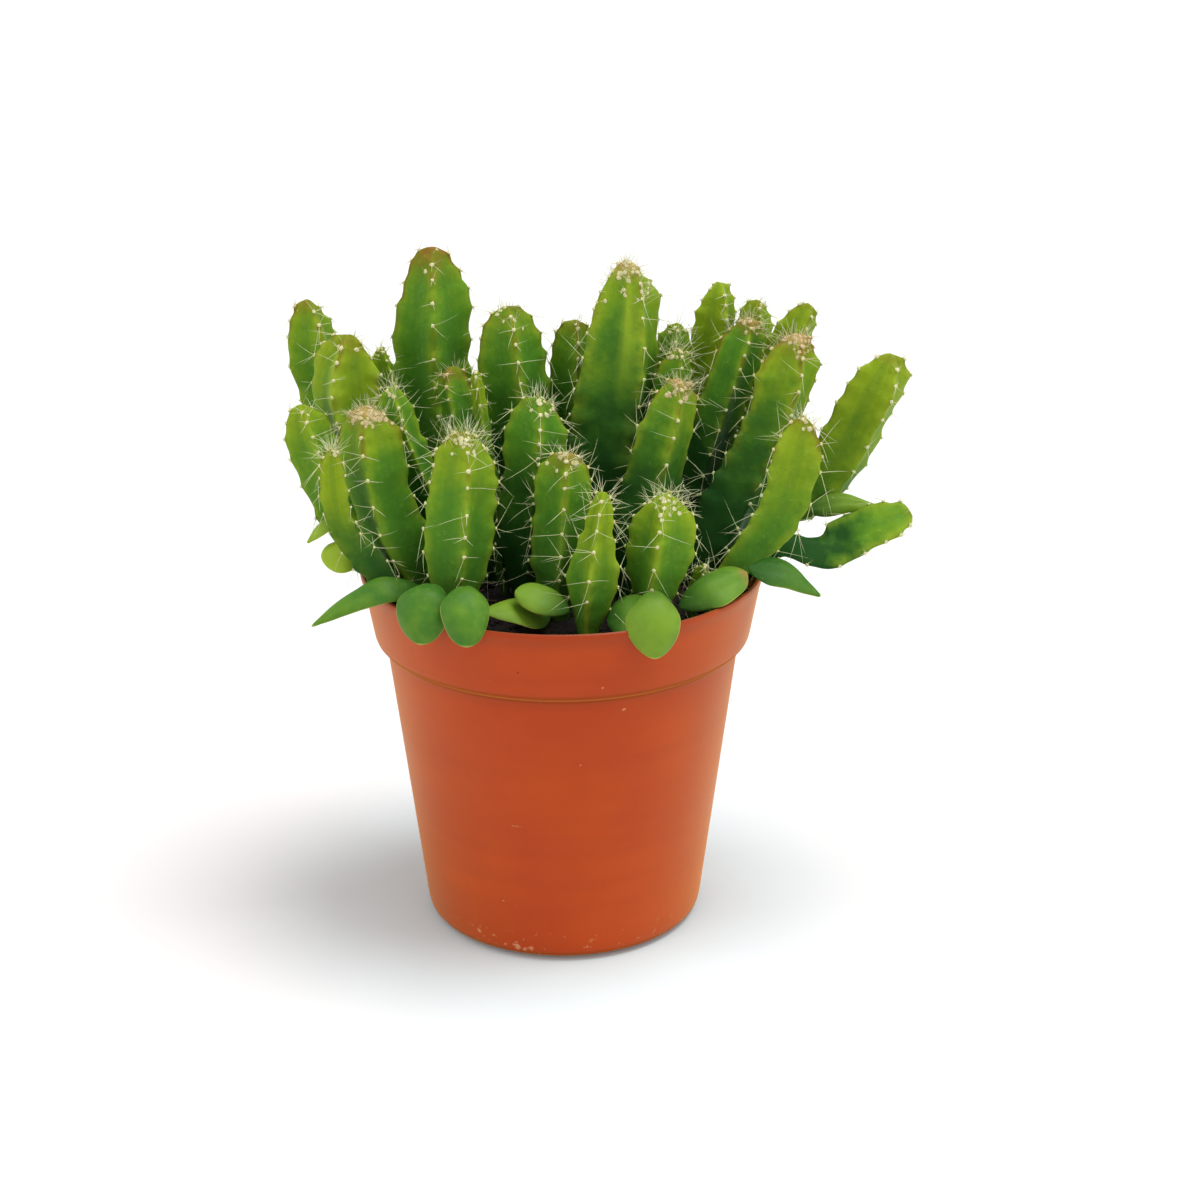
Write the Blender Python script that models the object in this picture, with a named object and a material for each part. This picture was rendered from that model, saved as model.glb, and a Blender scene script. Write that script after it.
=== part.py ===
"""A pot of young dragon fruit cacti: a crowd of ribbed seedlings in a small plastic nursery pot.

The origin is on the pot's axis, on the surface that the pot stands on. +Z is up and the front faces -Y.
Lengths are in millimetres in this file and become metres where the meshes are made.
Heights in the planting plan are counted from the soil's surface.
"""
import math
from typing import NamedTuple

import bmesh
import bpy
from mathutils import Quaternion, Vector

MM = 0.001

# Pot: a thin moulded wall with a tapered body, a step, and a wider collar that ends in a small lip.
POT_HEIGHT = 79.0
POT_WALL = 1.1
POT_SEGMENTS = 72
BASE_RADIUS = 30.0
BASE_FILLET = 2.5
BASE_THICKNESS = 1.4
STEP_HEIGHT = 63.5
BODY_TOP_RADIUS = 37.4
COLLAR_BOTTOM_RADIUS = 39.6
COLLAR_TOP_RADIUS = 41.7
LIP_RADIUS = 42.5
LIP_DROP = 1.6
DRAIN_HOLES = 8
DRAIN_CIRCLE_RADIUS = 21.5
DRAIN_HOLE_LENGTH = 9.0
DRAIN_HOLE_WIDTH = 5.0

# Soil: one plug that fills the pot to a few millimetres below the lip.
GAP = 0.3
SOIL_HEIGHT = 73.0
SOIL_EDGE_DROP = 1.2
SOIL_SEGMENTS = 48
PEG_DEPTH = 7.0

# Stems: a round neck in the soil swells into a ribbed body that ends in a blunt, domed tip.
POINTS_PER_RIB = 3
NECK_SHARE = 0.2
FULLNESS = 0.12
DOME_ANGLES = (28.0, 52.0, 72.0)
DOME_POWER = 1.8
BODY_STEP = 15.0
PATH_SAMPLES = 60


class Stem(NamedTuple):
    """One row of the planting plan."""

    root: tuple  # x, y
    tip: tuple  # x, y, height
    width: float  # over opposite ribs
    bearing: float = -85.0  # of one rib, in degrees
    ribs: int = 4
    top: float = 0.95  # width below the dome, as a share of the width
    dome: float = 0.9  # length of the dome, as a share of the width
    swell: float = 1.1  # length of the swelling foot, as a share of the width
    bends: tuple = ()  # points that the stem bends through, from the root up
    waist: float = 0.55  # how much of the swelling is done halfway along it


STEMS = (
    # Back row, from the left
    Stem((-21, 23), (-27, 23, 69), 16.4, -88, top=1.0, dome=1.3, bends=((-26.5, 22.5, 34),)),
    Stem((-28, 16), (-53.6, 20, 58.2), 11.5, -60, bends=((-37.5, 18.5, 15), (-50.5, 20, 37))),
    Stem((-7, 15), (-11.3, 15, 58), 15.0, -78, dome=0.95),
    Stem((0, 26), (3.2, 22, 53), 10.5, -80),
    Stem((6, 11), (13.8, 12, 68.5), 19.2, -60, top=0.98, dome=1.5, bends=((12.8, 12, 50),)),
    Stem((14, 20), (25, 20, 52.5), 8.0, -90),
    Stem((21.2, 27.8), (34, 26.3, 60), 10.2, -70, bends=((22.8, 28.4, 14), (32, 26.5, 45))),
    Stem((26.3, 24), (42, 24.3, 56.5), 8.2, -80, bends=((30.6, 26.1, 14), (40, 24.6, 42))),
    Stem((30.8, 18), (52.7, 17, 57), 8.5, -75, bends=((35.7, 19.8, 15), (45.6, 17.9, 43))),
    # Behind the back row, out of sight from the front
    Stem((-10, 31), (-14, 33, 40), 11.0, 80),
    Stem((8, 33), (10, 37, 38), 10.5, 95),
    # Left side
    Stem((-27, 6), (-43.6, 7.3, 54), 15.2, -105, dome=0.9, bends=((-43.5, 7.3, 35),)),
    Stem((-23, 12.5), (-38.5, 17, 48), 5.4, -60, ribs=3, bends=((-31, 15, 20),)),
    Stem((-19, -3), (-35, -3, 45), 8.0, -70, bends=((-31, -3, 30),)),
    Stem((-15, 4), (-23, 6, 47), 8.0, -110),
    Stem((-12, -4), (-17.5, 0, 47.5), 3.0, -90, ribs=3),
    Stem((-33, -4), (-54, -0.5, 41), 11.2, -75, bends=((-39.5, -3, 13), (-47, -2.5, 22))),
    # Right side
    Stem((24.3, 11.2), (39.5, 10, 56), 9.5, -85),
    Stem((16.8, 11.5), (24.5, 10, 49.5), 8.4, -70),
    Stem((28.5, 1.8), (48.8, 3.8, 54.5), 13.2, -70, bends=((42.5, 3.4, 32),)),
    Stem((32.8, 9.7), (69, 8, 49), 13.6, -68, top=1.0, dome=0.85, swell=2.1,
         bends=((40.6, 11, 14.8), (53.4, 10.6, 17.8), (59.4, 10, 26.5), (64.6, 9, 38))),
    Stem((14, -4), (24.3, -2, 46.5), 13.4, -80, top=0.85, dome=0.95),
    Stem((29.5, -11.5), (49, -12, 41), 10.8, -30, ribs=3, top=1.0, dome=0.8, swell=1.6,
         bends=((38.6, -12, 11.8), (44.7, -12, 22.6))),
    Stem((35.3, -4), (73.5, -3, 17), 12.0, -75, ribs=3, dome=0.9, swell=3.0, waist=0.2,
         bends=((41.4, -4, 10.7), (50, -4.5, 6.2), (59, -4, 10.8))),
    # Front, from the left
    Stem((-31.8, -16.3), (-45.5, -19.5, 37), 5.8, -30, ribs=3, swell=1.9,
         bends=((-36.4, -18.4, 10.4), (-42.4, -18.8, 16.8), (-45, -19.2, 27))),
    Stem((-28, -10.7), (-39.2, -13.8, 44.5), 13.8, -100, top=0.95, dome=0.75, bends=((-35.5, -12.5, 21),)),
    Stem((-22.3, -20), (-19.2, -20, 41), 13.8, -76, ribs=5, top=1.0, dome=0.85),
    Stem((-8, -6), (-4.3, -8, 44.5), 12.3, -85, top=1.0, dome=0.75),
    Stem((-1, -17), (1, -18, 36), 12.0, -90, dome=0.8),
    Stem((5, -27), (8.3, -27, 30.5), 9.6, -100, top=0.62),
    Stem((18, -21), (21, -22, 28.5), 12.6, -100, top=1.0, dome=0.8),
    Stem((26.5, -16), (29, -16, 11), 4.0, -90, ribs=3),
)

# Seed leaves, one row for each: the points it passes through from root to tip (x, y, height),
# width, thickness, roll about its length in degrees, and whether its tip is round or pointed.
SEED_LEAVES = (
    # Over the rim, from the left round the front to the right
    (((-27, -20, 5.4), (-34, -24.6, 9.3), (-43, -25, 5.7), (-50.4, -25.3, 1.5)),
     6.4, 1.8, -35, "pointed"),
    (((-24.8, -27.4, 8.6), (-26.4, -30.8, 11.7), (-27.5, -33.8, 10.8), (-28, -36, 7), (-27.8, -36.9, 1.9)),
     9.4, 1.5, 0, "round"),
    (((-19.4, -28.6, 8.8), (-19.1, -33, 12), (-18.9, -37.4, 11), (-18.8, -40, 7.4), (-18.6, -41.2, 3)),
     9.0, 1.5, 0, "round"),
    (((17.6, -31, 8.8), (17.6, -35, 11.2), (17.6, -38.8, 10.2), (17.7, -41, 6.6), (17.8, -42, 0.8)),
     10.6, 1.5, 0, "round"),
    (((37.6, -18.4, 10.6), (44, -19.4, 10.1), (52.2, -20.3, 5.3)), 7.4, 1.7, 25, "pointed"),
    # Inside the rim
    (((-2.7, -21.2, 2.2), (-8.8, -27.6, 5), (-16, -31, 6.4)), 8.0, 1.4, -26, "pointed"),
    (((1.3, -28.6, 5.4), (-3.5, -28.8, 7.9), (-9.4, -27.4, 9.2)), 6.4, 1.5, -32, "round"),
    (((8.8, -29.4, 3.4), (12.2, -30.4, 5.2), (17.2, -31.2, 5.4)), 9.0, 1.4, 30, "round"),
    (((23.6, -24.9, 4.6), (29.6, -25, 8.3), (37.3, -20.4, 10.3)), 8.4, 1.5, 25, "round"),
    # On the sides
    (((51.3, 2.6, 15.8), (58.6, 2.2, 17.6), (66.6, 2.1, 16.8)), 5.0, 1.5, 50, "pointed"),
    (((-46.2, -7.6, 18.4), (-49.4, -8.5, 16.4), (-52.4, -9, 13.4)), 4.0, 1.4, -20, "pointed"),
    (((-39.6, -9.2, 11.2), (-43.8, -10.5, 11.4), (-49.4, -10.9, 10.8)), 7.8, 1.5, -40, "round"),
    # At the back
    (((-11.4, 35, 4.2), (-13, 40, 8.6), (-14, 44, 7.5), (-14.5, 47, 3)), 7.5, 1.6, 0, "round"),
    (((11, 38, 5), (14, 40.3, 9.2), (19, 46, 5)), 7.0, 1.6, 0, "pointed"),
    (((32.8, 27, 8), (35.3, 29.4, 9), (41, 33.6, 5)), 7.0, 1.6, 0, "round"),
)
LEAF_SIDES = 8

# Leaf outlines: share of the length, share of the width.
LEAF_OUTLINES = {
    "round": ((0.0, 0.45), (0.2, 0.72), (0.42, 0.95), (0.64, 1.0), (0.82, 0.84), (0.94, 0.52)),
    "pointed": ((0.0, 0.5), (0.18, 0.82), (0.38, 1.0), (0.6, 0.84), (0.8, 0.5), (0.94, 0.2)),
}

# Colours as linear red, green, blue.
POT_COLOUR = (0.44, 0.055, 0.013)
SOIL_COLOUR = (0.014, 0.010, 0.008)
STEM_COLOUR = (0.085, 0.19, 0.018)
LEAF_COLOUR = (0.07, 0.18, 0.02)


def clear_scene():
    """Remove whatever the open file holds."""
    for old in list(bpy.data.objects):
        bpy.data.objects.remove(old, do_unlink=True)


def make_material(name, colour, roughness):
    """A plain dielectric surface."""
    material = bpy.data.materials.new(name)
    material.use_nodes = True
    shader = material.node_tree.nodes["Principled BSDF"]
    shader.inputs["Base Color"].default_value = (*colour, 1.0)
    shader.inputs["Roughness"].default_value = roughness
    shader.inputs["Metallic"].default_value = 0.0
    return material


def skin(rings):
    """A closed mesh through rings of points in millimetres, whose first and last rings are single points."""
    mesh = bmesh.new()
    loops = [[mesh.verts.new(point * MM) for point in ring] for ring in rings]
    for lower, upper in zip(loops, loops[1:]):
        count = max(len(lower), len(upper))
        for here in range(count):
            there = (here + 1) % count
            corners = (
                lower[here % len(lower)],
                lower[there % len(lower)],
                upper[there % len(upper)],
                upper[here % len(upper)],
            )
            mesh.faces.new(tuple(dict.fromkeys(corners)))
    return mesh


def add_object(name, mesh_data, material, crease_degrees):
    """Turn a bmesh into a named, smooth-shaded object."""
    mesh = bpy.data.meshes.new(name)
    mesh_data.to_mesh(mesh)
    mesh_data.free()
    if material:
        mesh.materials.append(material)
    mesh.shade_smooth()
    mesh.set_sharp_from_angle(angle=math.radians(crease_degrees))
    part = bpy.data.objects.new(name, mesh)
    bpy.context.scene.collection.objects.link(part)
    return part


def cut(target, cutter):
    """Subtract a cutter from a part with an exact Boolean, and keep the cutter out of sight."""
    cutter.hide_render = True
    cutter.display_type = "WIRE"
    boolean = target.modifiers.new("cut_" + cutter.name, "BOOLEAN")
    boolean.operation = "DIFFERENCE"
    boolean.solver = "EXACT"
    boolean.object = cutter


def circle(centre, radius, sides, first_bearing=0.0):
    """Points around a level circle, anticlockwise as seen from above."""
    step = math.tau / sides
    bearings = [first_bearing + step * side for side in range(sides)]
    return [centre + Vector((math.cos(b), math.sin(b), 0.0)) * radius for b in bearings]


def lathe(profile, segments):
    """Rings of a turned shape. The profile lists (radius, height), starting and ending on the axis."""
    rings = []
    for radius, height in profile:
        centre = Vector((0.0, 0.0, height))
        rings.append(circle(centre, radius, segments) if radius else [centre])
    return rings


def arc(centre, radius, start_degrees, end_degrees, steps):
    """Points of a circular arc in the profile's plane."""
    points = []
    for step in range(steps + 1):
        angle = math.radians(start_degrees + (end_degrees - start_degrees) * step / steps)
        points.append((centre[0] + radius * math.cos(angle), centre[1] + radius * math.sin(angle)))
    return points


def pot_outer_profile():
    """Outside of the pot from its base's centre to the top of the lip."""
    fillet_centre = (BASE_RADIUS - BASE_FILLET, BASE_FILLET)
    step_rise = 0.5
    lip_centre = (LIP_RADIUS - POT_WALL / 2, POT_HEIGHT - POT_WALL / 2)
    return [
        (0.0, 0.0),
        *arc(fillet_centre, BASE_FILLET, -90, -5, 3),
        (BODY_TOP_RADIUS, STEP_HEIGHT - step_rise),
        (COLLAR_BOTTOM_RADIUS - step_rise, STEP_HEIGHT),
        (COLLAR_BOTTOM_RADIUS, STEP_HEIGHT + step_rise),
        (COLLAR_TOP_RADIUS, POT_HEIGHT - 2 * LIP_DROP),
        *arc(lip_centre, POT_WALL / 2, -20, 180, 4),
    ]


def pot_inner_profile():
    """Inside of the pot from under the lip down to the floor's edge."""
    return [
        (COLLAR_TOP_RADIUS - POT_WALL, POT_HEIGHT - 2 * LIP_DROP),
        (COLLAR_BOTTOM_RADIUS - POT_WALL, STEP_HEIGHT + POT_WALL + 0.5),
        (BODY_TOP_RADIUS - POT_WALL, STEP_HEIGHT + POT_WALL - 0.5),
        (BASE_RADIUS - POT_WALL, BASE_THICKNESS + BASE_FILLET),
        (BASE_RADIUS - POT_WALL - BASE_FILLET, BASE_THICKNESS),
    ]


def drain_cutter():
    """Slots through the pot's base, set in a ring around its solid centre."""
    mesh = bmesh.new()
    reach = BASE_THICKNESS
    straight = (DRAIN_HOLE_LENGTH - DRAIN_HOLE_WIDTH) / 2
    for hole in range(DRAIN_HOLES):
        bearing = math.tau * (hole + 0.5) / DRAIN_HOLES
        outward = Vector((math.cos(bearing), math.sin(bearing), 0.0))
        along = Vector((-outward.y, outward.x, 0.0))
        outline = []
        for end in (1, -1):
            for across, onward in arc((0.0, 0.0), DRAIN_HOLE_WIDTH / 2, 0, 180, 4):
                spot = outward * (DRAIN_CIRCLE_RADIUS + across * end) + along * (onward + straight) * end
                outline.append(spot)
        bottom = [mesh.verts.new((point - Vector((0, 0, reach))) * MM) for point in outline]
        face = mesh.faces.new(bottom)
        lift = bmesh.ops.extrude_face_region(mesh, geom=[face])["geom"]
        top = [item for item in lift if isinstance(item, bmesh.types.BMVert)]
        bmesh.ops.translate(mesh, verts=top, vec=(0, 0, (BASE_THICKNESS + 2 * reach) * MM))
    bmesh.ops.recalc_face_normals(mesh, faces=mesh.faces)
    return add_object("drain_cutter", mesh, None, 30)


def make_pot(material):
    """The pot: one moulded wall with drain holes through its base."""
    profile = [*pot_outer_profile(), *pot_inner_profile(), (0.0, BASE_THICKNESS)]
    pot = add_object("pot", skin(lathe(profile, POT_SEGMENTS)), material, 35)
    cut(pot, drain_cutter())
    return pot


def bend_through(points, start_direction):
    """Evenly sampled smooth curve through the points, leaving the first one in the given direction."""
    first = points[0] - start_direction * (points[1] - points[0]).length
    last = points[-1] * 2 - points[-2]
    knots = [first, *points, last]
    spans = len(points) - 1
    curve = []
    for sample in range(PATH_SAMPLES + 1):
        position = spans * sample / PATH_SAMPLES
        span = min(int(position), spans - 1)
        t = position - span
        before, start, end, after = knots[span : span + 4]
        curve.append(
            (
                start * 2
                + (end - before) * t
                + (before * 2 - start * 5 + end * 4 - after) * t**2
                + (start * 3 - before - end * 3 + after) * t**3
            )
            / 2
        )
    return curve


def walk(curve, distance):
    """Point and direction at a distance along a sampled curve."""
    left = distance
    for start, end in zip(curve, curve[1:]):
        length = (end - start).length
        if left <= length:
            return start + (end - start) * (left / length), (end - start).normalized()
        left -= length
    return curve[-1], (curve[-1] - curve[-2]).normalized()


def curve_length(curve):
    """Length of a sampled curve."""
    return sum((end - start).length for start, end in zip(curve, curve[1:]))


def rib_section(radius, ribs, bearing, ribbing):
    """Level section of a stem: a polygon with bulging sides that turns round as the ribbing fades to 0."""
    sides = ribs * POINTS_PER_RIB
    flat = math.cos(math.pi / ribs) / math.cos(math.pi / ribs / POINTS_PER_RIB)
    between = flat + FULLNESS * (1.0 - flat)
    points = circle(Vector(), radius, sides, math.radians(bearing))
    for side, point in enumerate(points):
        if side % POINTS_PER_RIB:
            point *= 1.0 - ribbing * (1.0 - between)
    return points


def stem_stations(length, plan):
    """Distances along a stem with the rib radius and the ribbing there, from the soil to below the tip."""
    radius = plan.width / 2
    top_radius = radius * plan.top
    neck = plan.width * NECK_SHARE
    swell = min(plan.width * plan.swell, length * 0.62)
    shoulder = length - min(plan.width * plan.dome, length * 0.45)
    waist = neck + (radius - neck) * plan.waist
    stations = [(0.0, neck, 0.0), (swell * 0.5, waist, 0.6), (swell, radius, 1.0)]
    steps = max(1, math.ceil((shoulder - swell) / BODY_STEP))
    for step in range(1, steps + 1):
        share = step / steps
        stations.append((swell + (shoulder - swell) * share, radius + (top_radius - radius) * share, 1.0))
    for degrees in DOME_ANGLES:
        angle = math.radians(degrees)
        distance = shoulder + (length - shoulder) * math.sin(angle) ** (2 / DOME_POWER)
        stations.append((distance, top_radius * math.cos(angle) ** (2 / DOME_POWER), 1.0))
    return stations


def stem_rings(plan):
    """Rings of one stem, from the foot of its root peg to its tip."""
    soil = Vector((0.0, 0.0, SOIL_HEIGHT))
    up = Vector((0.0, 0.0, 1.0))
    points = [Vector((*plan.root, 0.0)), *(Vector(bend) for bend in plan.bends), Vector(plan.tip)]
    curve = bend_through([point + soil for point in points], up)
    foot = curve[0] - up * PEG_DEPTH
    peg = rib_section(plan.width * NECK_SHARE, plan.ribs, plan.bearing, 0.0)
    rings = [[foot], [foot + offset for offset in peg]]
    for distance, radius, ribbing in stem_stations(curve_length(curve), plan):
        centre, direction = walk(curve, distance)
        turn = up.rotation_difference(direction if distance else up)
        section = rib_section(radius, plan.ribs, plan.bearing, ribbing)
        rings.append([centre + turn @ offset for offset in section])
    rings.append([curve[-1]])
    return rings


def make_stems(material):
    """Every stem of the crowd, as its own part."""
    stems = []
    for number, plan in enumerate(STEMS, start=1):
        stems.append(add_object(f"stem_{number:02d}", skin(stem_rings(plan)), material, 60))
    return stems


def peg_cutter():
    """Sockets in the soil: one for each root peg, wider and deeper than the peg by the gap."""
    mesh = bmesh.new()
    for plan in STEMS:
        sides = plan.ribs * POINTS_PER_RIB
        radius = plan.width * NECK_SHARE + GAP / math.cos(math.pi / sides)
        foot = Vector((*plan.root, SOIL_HEIGHT - PEG_DEPTH - GAP))
        outline = circle(foot, radius, sides, math.radians(plan.bearing))
        face = mesh.faces.new([mesh.verts.new(point * MM) for point in outline])
        lift = bmesh.ops.extrude_face_region(mesh, geom=[face])["geom"]
        top = [item for item in lift if isinstance(item, bmesh.types.BMVert)]
        bmesh.ops.translate(mesh, verts=top, vec=(0, 0, 2 * PEG_DEPTH * MM))
    bmesh.ops.recalc_face_normals(mesh, faces=mesh.faces)
    return add_object("peg_cutter", mesh, None, 30)


def make_soil(material):
    """The soil plug: it follows the inside of the pot, a gap away, and is slightly crowned on top."""
    edge_height = SOIL_HEIGHT - SOIL_EDGE_DROP
    inner = pot_inner_profile()
    (top_radius, top_height), (low_radius, low_height) = inner[:2]
    slope = (top_radius - low_radius) / (top_height - low_height)
    edge_radius = low_radius + slope * (edge_height - low_height) - GAP
    walls = [(radius - GAP, height + GAP) for radius, height in reversed(inner[1:])]
    crown = [(edge_radius, edge_height), (edge_radius - 5.0, SOIL_HEIGHT - 0.2), (0.0, SOIL_HEIGHT)]
    profile = [(0.0, BASE_THICKNESS + GAP), *walls, *crown]
    soil = add_object("soil", skin(lathe(profile, SOIL_SEGMENTS)), material, 40)
    cut(soil, peg_cutter())
    return soil


def leaf_rings(points, width, thickness, roll, shape):
    """Rings of one seed leaf: flat ovals along its path, from the root's end to the tip."""
    soil = Vector((0.0, 0.0, SOIL_HEIGHT))
    points = [Vector(point) + soil for point in points]
    curve = bend_through(points, (points[1] - points[0]).normalized())
    length = curve_length(curve)
    heading = points[-1] - points[0]
    level_side = heading.cross(Vector((0.0, 0.0, 1.0))).normalized()
    rings = [[curve[0]]]
    for share, width_share in LEAF_OUTLINES[shape]:
        centre, direction = walk(curve, length * share)
        side = Quaternion(direction, math.radians(roll)) @ level_side
        normal = direction.cross(side)
        half_width = side * (width * width_share / 2)
        half_thickness = normal * (thickness * (0.4 + 0.6 * width_share) / 2)
        angles = [math.tau * side_number / LEAF_SIDES for side_number in range(LEAF_SIDES)]
        rings.append([centre + half_width * math.cos(a) + half_thickness * math.sin(a) for a in angles])
    rings.append([curve[-1]])
    return rings


def make_seed_leaves(material):
    """The fleshy seed leaves at the feet of the stems, as parts of their own."""
    for number, plan in enumerate(SEED_LEAVES, start=1):
        add_object(f"seed_leaf_{number:02d}", skin(leaf_rings(*plan)), material, 60)


clear_scene()
make_pot(make_material("pot_plastic", POT_COLOUR, 0.38))
make_soil(make_material("peat_soil", SOIL_COLOUR, 0.95))
make_stems(make_material("stem_flesh", STEM_COLOUR, 0.45))
make_seed_leaves(make_material("leaf_flesh", LEAF_COLOUR, 0.45))
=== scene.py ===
"""Looks of a pot of dragon fruit seedlings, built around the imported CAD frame.

Lengths are in millimetres in this script until a mesh is made, which is in metres like the frame.
"""

import math
import random
from typing import NamedTuple

import bmesh
import bpy
import numpy as np
from mathutils import Matrix, Vector, noise


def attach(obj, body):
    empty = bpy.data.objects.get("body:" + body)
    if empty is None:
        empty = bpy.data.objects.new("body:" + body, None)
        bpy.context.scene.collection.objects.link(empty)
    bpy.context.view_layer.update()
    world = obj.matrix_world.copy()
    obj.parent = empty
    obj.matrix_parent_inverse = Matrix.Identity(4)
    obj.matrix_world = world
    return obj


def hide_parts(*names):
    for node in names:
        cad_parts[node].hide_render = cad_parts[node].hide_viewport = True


MM = 0.001
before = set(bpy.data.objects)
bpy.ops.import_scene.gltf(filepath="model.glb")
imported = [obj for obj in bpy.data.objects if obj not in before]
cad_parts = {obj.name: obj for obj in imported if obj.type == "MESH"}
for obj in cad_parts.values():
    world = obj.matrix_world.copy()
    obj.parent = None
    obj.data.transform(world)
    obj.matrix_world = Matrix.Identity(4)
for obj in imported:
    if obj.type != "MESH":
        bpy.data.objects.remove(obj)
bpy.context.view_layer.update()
noise.seed_set(7)  # noise_vector would differ from run to run without it


# ---------------- colours and node graphs


def linear(code):
    """Linear colour of a hex code."""
    values = [int(code[i : i + 2], 16) / 255 for i in (1, 3, 5)]
    return tuple(v / 12.92 if v <= 0.04045 else ((v + 0.055) / 1.055) ** 2.4 for v in values) + (1.0,)


class Graph:
    """Nodes of a new material, or of a world if it gets no colour, and the colour that paint() builds up."""

    def __init__(self, name, colour=None):
        self.owner = (bpy.data.materials if colour else bpy.data.worlds).new(name)
        self.owner.use_nodes = True
        self.tree = self.owner.node_tree
        self.shader = self.tree.nodes["Principled BSDF" if colour else "Background"]
        self.colour = colour

    def link(self, value, socket):
        """Set a socket to a number, a colour or a hex code, or link it to another socket."""
        if isinstance(value, bpy.types.NodeSocket):
            self.tree.links.new(value, socket)
        else:
            socket.default_value = linear(value) if isinstance(value, str) else value

    def node(self, kind, inputs, **settings):
        """Outputs of a new node, given its inputs by number or name, and its settings."""
        node = self.tree.nodes.new("ShaderNode" + kind)
        for name, value in settings.items():
            setattr(node, name, value)
        for key, value in inputs.items():
            self.link(value, node.inputs[key])
        return node.outputs

    def geometry(self, name="Position"):
        """Place of the point that is shaded, or its normal."""
        return self.node("NewGeometry", {})[name]

    def upward(self, name):
        """Height of the point that is shaded, in metres, or how far its normal points up."""
        return self.node("SeparateXYZ", {0: self.geometry(name)})["Z"]

    def attribute(self, name):
        """A number that each vertex carries."""
        return self.node("Attribute", {}, attribute_name=name)["Fac"]

    def noise(self, size_mm, detail=3.0, roughness=0.5, stretch=(1, 1, 1), distortion=0.0):
        """Noise from 0 to 1 whose features are about as large as the size given."""
        place = self.node("Mapping", {"Vector": self.geometry(), "Scale": stretch})[0]
        inputs = {"Vector": place, "Scale": 1 / (size_mm * MM), "Detail": detail}
        return self.node("TexNoise", {**inputs, "Roughness": roughness, "Distortion": distortion})["Fac"]

    def cells(self, size_mm):
        """Distance from the nearest of many scattered points."""
        inputs = {"Vector": self.geometry(), "Scale": 1 / (size_mm * MM)}
        return self.node("TexVoronoi", inputs)["Distance"]

    def distance(self, point=(0.0, 0.0, 0.0)):
        """Distance from a point, in metres."""
        return self.node("VectorMath", {0: self.geometry(), 1: point}, operation="DISTANCE")["Value"]

    def maths(self, operation, a, b=0.0, c=0.0):
        """One arithmetic step."""
        return self.node("Math", {0: a, 1: b, 2: c}, operation=operation)[0]

    def times(self, a, b, plus=0.0):
        """Product of two values, with a third one added."""
        return self.maths("MULTIPLY_ADD", a, b, plus)

    def span(self, value, low, high, out_low=0.0, out_high=1.0):
        """Map a range of values to another, held at its ends."""
        inputs = dict(enumerate((value, low, high, out_low, out_high)))
        return self.node("MapRange", inputs, interpolation_type="SMOOTHSTEP")[0]

    def mix(self, share, first, second):
        """Mix two colours."""
        return self.node("Mix", {0: share, 6: first, 7: second}, data_type="RGBA")[2]

    def paint(self, share, colour, strength=1.0):
        """Lay a colour over what is there, as far as the share says."""
        if strength != 1.0:
            share = self.times(share, strength)
        self.colour = self.mix(share, self.colour, colour)

    def bump(self, *layers):
        """Stack bumps on the normal, each a height from 0 to 1 with its depth in millimetres."""
        below = {}
        for height, depth in layers:
            below = {"Normal": self.node("Bump", {"Distance": depth * MM, "Height": height, **below})[0]}
        self.shade(**below)

    def shade(self, **values):
        """Set the shader's inputs by name, with _ for a space."""
        for name, value in values.items():
            self.link(value, self.shader.inputs[name.replace("_", " ")])

    def surface(self, roughness, gloss=0.5, **values):
        """The finished material."""
        self.shade(Base_Color=self.colour, Roughness=roughness, Specular_IOR_Level=gloss, **values)
        return self.owner


SKIN_NUMBERS = ("rib", "crown", "rise", "lime", "blush", "deep", "stripe", "band", "felt")
LEAF_NUMBERS = ("rim", "along", "lime", "spot")
SPINE_NUMBERS = ("along", "warm")
GREEN_GLOW = {"Subsurface_Radius": (0.6, 1.0, 0.2), "Subsurface_Scale": 1.2 * MM}


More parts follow.
